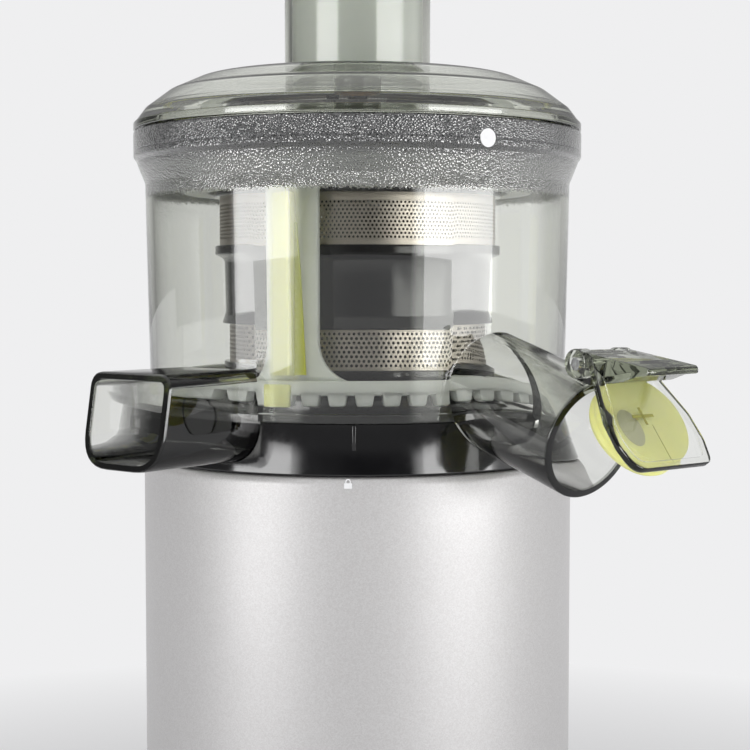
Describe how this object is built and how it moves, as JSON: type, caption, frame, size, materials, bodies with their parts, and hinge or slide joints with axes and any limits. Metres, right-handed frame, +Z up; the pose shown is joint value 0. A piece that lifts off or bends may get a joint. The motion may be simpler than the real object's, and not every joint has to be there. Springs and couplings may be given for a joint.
{
  "type": "slow juicer",
  "caption": "Upright slow juicer: silver motor drum, clear smoke-tinted bowl with strainer, wiper and auger, flapped juice spout, pulp spout and lid with chute and pusher.",
  "frame": {"origin": "on the drum's axis, at the level of the surface that the rubber feet stand on", "axes": "+Z up along the drum's axis, -Y the front between the two spouts, +X to the right seen from the front"},
  "size_m": [0.187, 0.2034, 0.4443],
  "materials": {
    "black_rubber": "matt moulded rubber",
    "black_plastic": "fine-textured moulded plastic",
    "black_gloss": "polished black moulding",
    "silver_paint": "fine metallic silver lacquer over plastic",
    "smoke_clear": "clear smoke-tinted moulding",
    "frosted_white": "milky translucent plastic",
    "white_plastic": "natural acetal",
    "grey_plastic": "glass-filled nylon",
    "dark_resin": "satin dark resin",
    "lime_silicone": "satin silicone rubber",
    "mesh_steel": "etched stainless sheet",
    "shaft_steel": "ground steel",
    "screw_steel": "zinc plated",
    "zinc_steel": "zinc-plated drawn sheet",
    "lamination_steel": "stacked laminations",
    "copper_wire": "enamelled copper",
    "bronze": "sintered bronze",
    "carbon": "pressed carbon",
    "board_green": "glass-epoxy board",
    "board_parts": "moulded components"
  },
  "bodies": {
    "root": {"rubber_feet": "black_rubber", "base_plate": "black_plastic", "base_screws": "screw_steel", "body_shell": "silver_paint", "top_deck": "black_plastic", "deck_screws": "screw_steel", "switch_bezel": "black_plastic", "cord_gland": "black_rubber", "control_board": "board_green", "board_parts": "board_parts", "motor_can": "zinc_steel", "motor_stator": "lamination_steel", "field_coils": "copper_wire", "carbon_brushes": "carbon", "motor_bushes": "bronze", "motor_screws": "screw_steel", "gearbox_housing": "grey_plastic", "gearbox_cover": "grey_plastic", "gearbox_screws": "screw_steel", "counter_bushes": "bronze", "output_bush": "bronze", "shaft_seal": "black_rubber"},
    "rocker": {"rocker_switch": "black_gloss"},
    "rotor": {"motor_shaft": "shaft_steel", "rotor_core": "lamination_steel", "commutator": "copper_wire", "motor_pinion": "bronze", "cooling_fan": "white_plastic"},
    "countershaft": {"counter_shaft": "shaft_steel", "first_wheel": "white_plastic", "second_pinion": "shaft_steel"},
    "drive": {"output_wheel": "white_plastic", "drive_shaft": "shaft_steel"},
    "bowl": {"bowl_base": "black_gloss", "bowl": "smoke_clear", "bowl_seal": "lime_silicone", "idler_pin": "shaft_steel", "strainer_frame": "black_gloss", "lower_mesh": "mesh_steel", "upper_mesh": "mesh_steel", "cap_pin": "shaft_steel"},
    "idler": {"idler_gear": "white_plastic"},
    "wiper": {"wiper_frame": "frosted_white", "wiper_blades": "lime_silicone"},
    "auger": {"auger": "dark_resin", "auger_gear": "white_plastic", "drive_insert": "shaft_steel"},
    "cap": {"spout_cap": "smoke_clear", "cap_plug": "lime_silicone"},
    "gasket": {"lid_gasket": "lime_silicone"},
    "lid": {"lid": "smoke_clear", "lid_bush": "bronze"},
    "pusher": {"pusher": "frosted_white"}
  },
  "joints": [
    {"name": "motor_spin", "type": "hinge", "parent": "root", "child": "rotor", "pos_m": [0, 0, 0.1], "axis": [0, 0, 1], "continuous": true},
    {"name": "counter_spin", "type": "hinge", "parent": "root", "child": "countershaft", "pos_m": [0.036, 0, 0.175], "axis": [0, 0, 1], "continuous": true},
    {"name": "drive_spin", "type": "hinge", "parent": "root", "child": "drive", "pos_m": [0, 0, 0.185], "axis": [0, 0, 1], "continuous": true},
    {"name": "power_switch", "type": "hinge", "parent": "root", "child": "rocker", "pos_m": [0, 0.067, 0.062], "axis": [1, 0, 0], "range_deg": [-16, 0]},
    {"name": "bowl_lift", "type": "slide", "parent": "root", "child": "bowl", "axis": [0, 0, 1], "range_m": [0, 0.06]},
    {"name": "idler_spin", "type": "hinge", "parent": "bowl", "child": "idler", "pos_m": [0, 0.04067, 0.243], "axis": [0, 0, 1], "continuous": true},
    {"name": "wiper_spin", "type": "hinge", "parent": "bowl", "child": "wiper", "pos_m": [0, 0, 0.248], "axis": [0, 0, 1], "continuous": true},
    {"name": "auger_spin", "type": "hinge", "parent": "bowl", "child": "auger", "pos_m": [0, 0, 0.26], "axis": [0, 0, 1], "continuous": true},
    {"name": "cap_hinge", "type": "hinge", "parent": "bowl", "child": "cap", "pos_m": [0.07219, -0.09239, 0.25704], "axis": [-0.788, -0.6157, 0], "range_deg": [-54, 56]},
    {"name": "lid_twist", "type": "hinge", "parent": "bowl", "child": "gasket", "pos_m": [0, 0, 0.33], "axis": [0, 0, 1], "range_deg": [-30, 0]},
    {"name": "lid_lift", "type": "slide", "parent": "gasket", "child": "lid", "axis": [0, 0, 1], "range_m": [0, 0.09]},
    {"name": "pusher_lift", "type": "slide", "parent": "lid", "child": "pusher", "axis": [0, 0, 1], "range_m": [0, 0.09]}
  ],
  "couplings": [
    {"joint": "counter_spin", "follows": "motor_spin", "ratio": -0.2},
    {"joint": "drive_spin", "follows": "motor_spin", "ratio": 0.04},
    {"joint": "auger_spin", "follows": "motor_spin", "ratio": 0.04},
    {"joint": "idler_spin", "follows": "motor_spin", "ratio": -0.04},
    {"joint": "wiper_spin", "follows": "motor_spin", "ratio": -0.013333}
  ]
}
